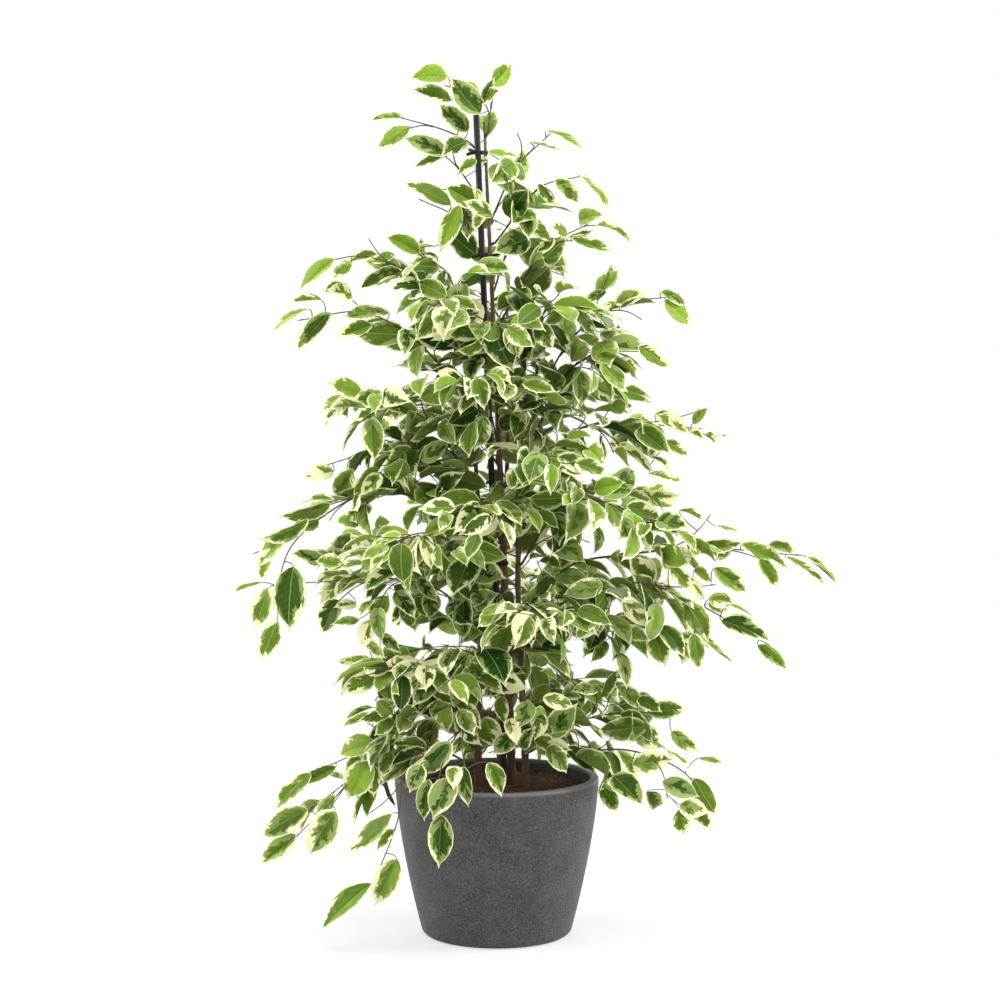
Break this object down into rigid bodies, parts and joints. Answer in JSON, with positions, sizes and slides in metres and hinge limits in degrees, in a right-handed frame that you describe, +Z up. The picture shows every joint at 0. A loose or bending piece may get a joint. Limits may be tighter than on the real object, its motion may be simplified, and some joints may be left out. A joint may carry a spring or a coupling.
{
  "type": "potted weeping fig",
  "caption": "Weeping fig house plant with cream-edged leaves on staked stems, growing in a round tapered stone-grey pot.",
  "frame": {"origin": "middle of the pot's flat underside, on the surface that it stands on", "axes": "+Z up along the pot's axis; -Y towards the side that the plant is looked at from, +X to the viewer's right"},
  "size_m": [0.7531, 0.523, 1.0743],
  "materials": {
    "cast_stone": "matte",
    "coir_soil": "matte",
    "bark": "matte",
    "black_plastic": "satin",
    "variegated_leaf": "satin"
  },
  "bodies": {
    "root": {"pot": "cast_stone", "potting_soil": "coir_soil", "support_stake": "black_plastic", "stake_tie_1": "black_plastic", "stake_tie_2": "black_plastic", "stake_tie_3": "black_plastic", "stem_1": "bark", "stem_2": "bark", "stem_3": "bark", "stem_4": "bark", "leafy_branch_01": "variegated_leaf", "leafy_branch_02": "variegated_leaf", "leafy_branch_03": "variegated_leaf", "leafy_branch_04": "variegated_leaf", "leafy_branch_05": "variegated_leaf", "leafy_branch_06": "variegated_leaf", "leafy_branch_07": "variegated_leaf", "leafy_branch_08": "variegated_leaf", "leafy_branch_09": "variegated_leaf", "leafy_branch_10": "variegated_leaf", "leafy_branch_11": "variegated_leaf", "leafy_branch_12": "variegated_leaf", "leafy_branch_13": "variegated_leaf", "leafy_branch_14": "variegated_leaf", "leafy_branch_15": "variegated_leaf", "leafy_branch_16": "variegated_leaf", "leafy_branch_17": "variegated_leaf", "leafy_branch_18": "variegated_leaf", "leafy_branch_19": "variegated_leaf", "leafy_branch_20": "variegated_leaf", "leafy_branch_21": "variegated_leaf", "leafy_branch_22": "variegated_leaf", "leafy_branch_23": "variegated_leaf", "leafy_branch_24": "variegated_leaf", "leafy_branch_25": "variegated_leaf", "leafy_branch_26": "variegated_leaf", "leafy_branch_27": "variegated_leaf", "leafy_branch_28": "variegated_leaf", "leafy_branch_29": "variegated_leaf", "leafy_branch_30": "variegated_leaf", "leafy_branch_31": "variegated_leaf", "leafy_branch_32": "variegated_leaf", "leafy_branch_33": "variegated_leaf", "leafy_branch_34": "variegated_leaf", "leafy_branch_35": "variegated_leaf", "leafy_branch_36": "variegated_leaf", "leafy_branch_37": "variegated_leaf", "leafy_branch_38": "variegated_leaf", "leafy_branch_39": "variegated_leaf", "leafy_branch_40": "variegated_leaf", "leafy_branch_41": "variegated_leaf", "leafy_branch_42": "variegated_leaf", "leafy_branch_43": "variegated_leaf", "leafy_branch_44": "variegated_leaf", "leafy_branch_45": "variegated_leaf", "leafy_branch_46": "variegated_leaf", "leafy_branch_47": "variegated_leaf", "leafy_branch_48": "variegated_leaf"}
  },
  "joints": []
}
